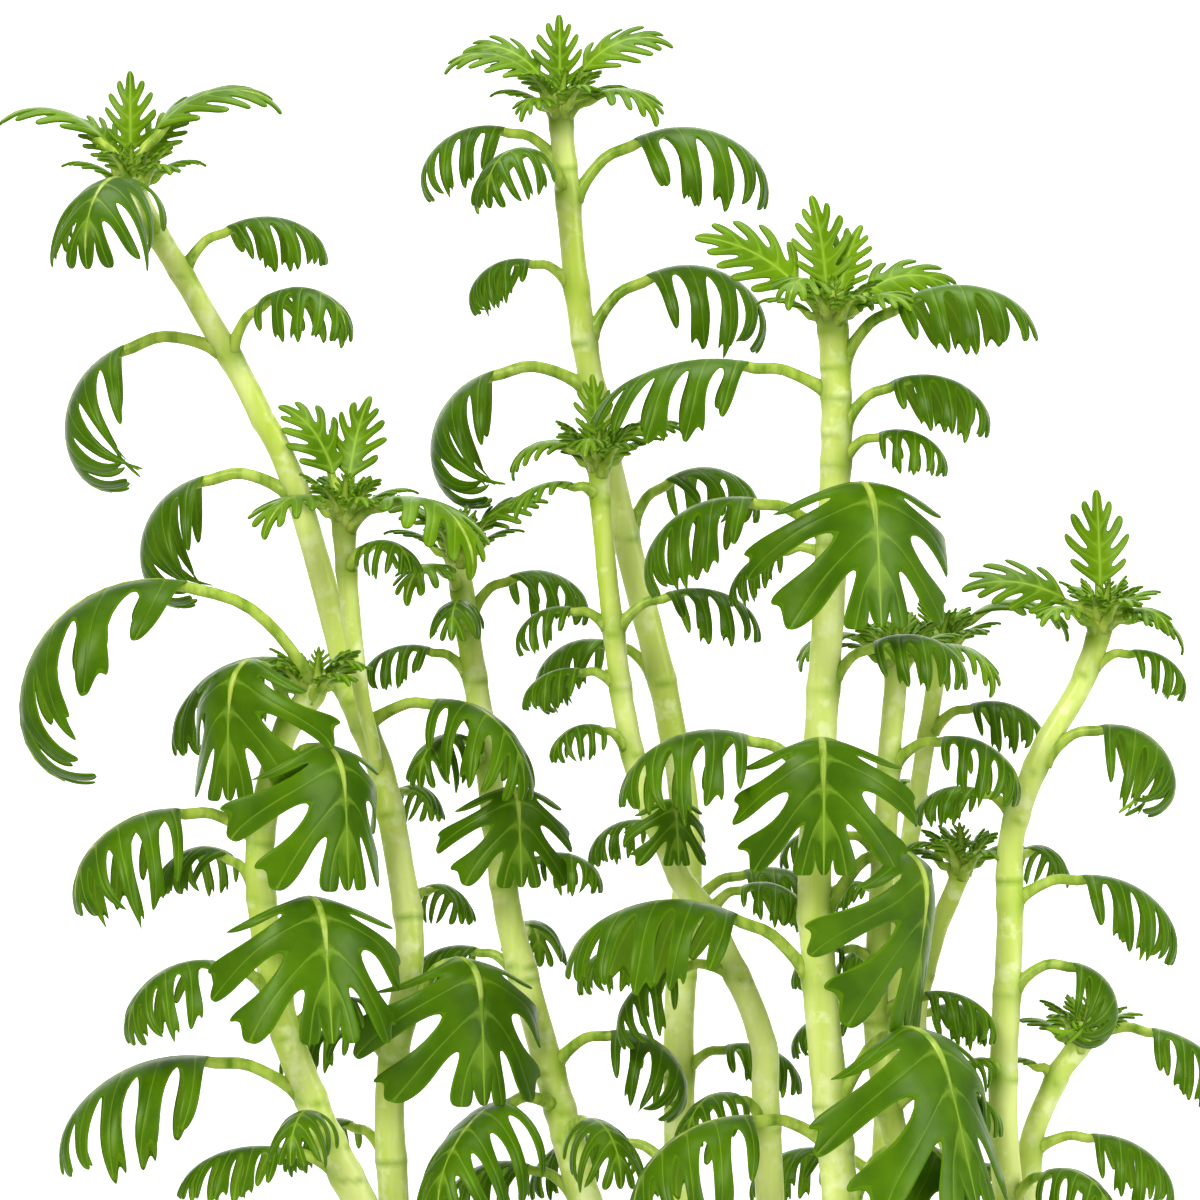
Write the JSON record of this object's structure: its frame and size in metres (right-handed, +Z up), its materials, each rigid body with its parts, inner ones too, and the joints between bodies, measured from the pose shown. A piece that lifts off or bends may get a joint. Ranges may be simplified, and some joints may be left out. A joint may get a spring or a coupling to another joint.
{
  "type": "water violet plant",
  "caption": "Emersed clump of water violet: thick pale stems with arching, comb-cut fleshy leaves on a creeping rootstock cut flat below.",
  "frame": {"origin": "on the rootstock's flat cut underside, at its middle, where the plant stands on the ground", "axes": "+Z up along the stems, +X to the right as the picture shows the clump, +Y away from the viewer"},
  "size_m": [0.1891, 0.0718, 0.205],
  "materials": {
    "rootstock": "dull waxy skin",
    "stem": "smooth fleshy skin with a soft gloss",
    "leaf": "glossy leaf skin, duller and paler below"
  },
  "bodies": {
    "root": {"leaf_centre_short_1": "leaf", "leaf_centre_short_2": "leaf", "leaf_centre_short_3": "leaf", "leaf_centre_tall_1": "leaf", "leaf_centre_tall_2": "leaf", "leaf_centre_tall_3": "leaf", "leaf_centre_tall_4": "leaf", "leaf_centre_tall_5": "leaf", "leaf_centre_tall_6": "leaf", "leaf_left_low_1": "leaf", "leaf_left_low_2": "leaf", "leaf_left_low_3": "leaf", "leaf_left_low_4": "leaf", "leaf_left_low_5": "leaf", "leaf_left_low_6": "leaf", "leaf_left_low_7": "leaf", "leaf_left_middle_1": "leaf", "leaf_left_middle_2": "leaf", "leaf_left_middle_3": "leaf", "leaf_left_middle_4": "leaf", "leaf_left_tall_1": "leaf", "leaf_left_tall_2": "leaf", "leaf_left_tall_3": "leaf", "leaf_left_tall_4": "leaf", "leaf_left_tall_5": "leaf", "leaf_left_tall_6": "leaf", "leaf_right_leaning_1": "leaf", "leaf_right_leaning_2": "leaf", "leaf_right_leaning_3": "leaf", "leaf_right_low_1": "leaf", "leaf_right_low_2": "leaf", "leaf_right_slim_1": "leaf", "leaf_right_slim_2": "leaf", "leaf_right_tall_1": "leaf", "leaf_right_tall_10": "leaf", "leaf_right_tall_11": "leaf", "leaf_right_tall_12": "leaf", "leaf_right_tall_2": "leaf", "leaf_right_tall_3": "leaf", "leaf_right_tall_4": "leaf", "leaf_right_tall_5": "leaf", "leaf_right_tall_6": "leaf", "leaf_right_tall_7": "leaf", "leaf_right_tall_8": "leaf", "leaf_right_tall_9": "leaf", "rootstock": "rootstock", "stem_centre_short": "stem", "stem_centre_tall": "stem", "stem_left_branch": "stem", "stem_left_low": "stem", "stem_left_middle": "stem", "stem_left_tall": "stem", "stem_right_back": "stem", "stem_right_hidden": "stem", "stem_right_leaning": "stem", "stem_right_low": "stem", "stem_right_slim": "stem", "stem_right_tall": "stem"}
  },
  "joints": []
}
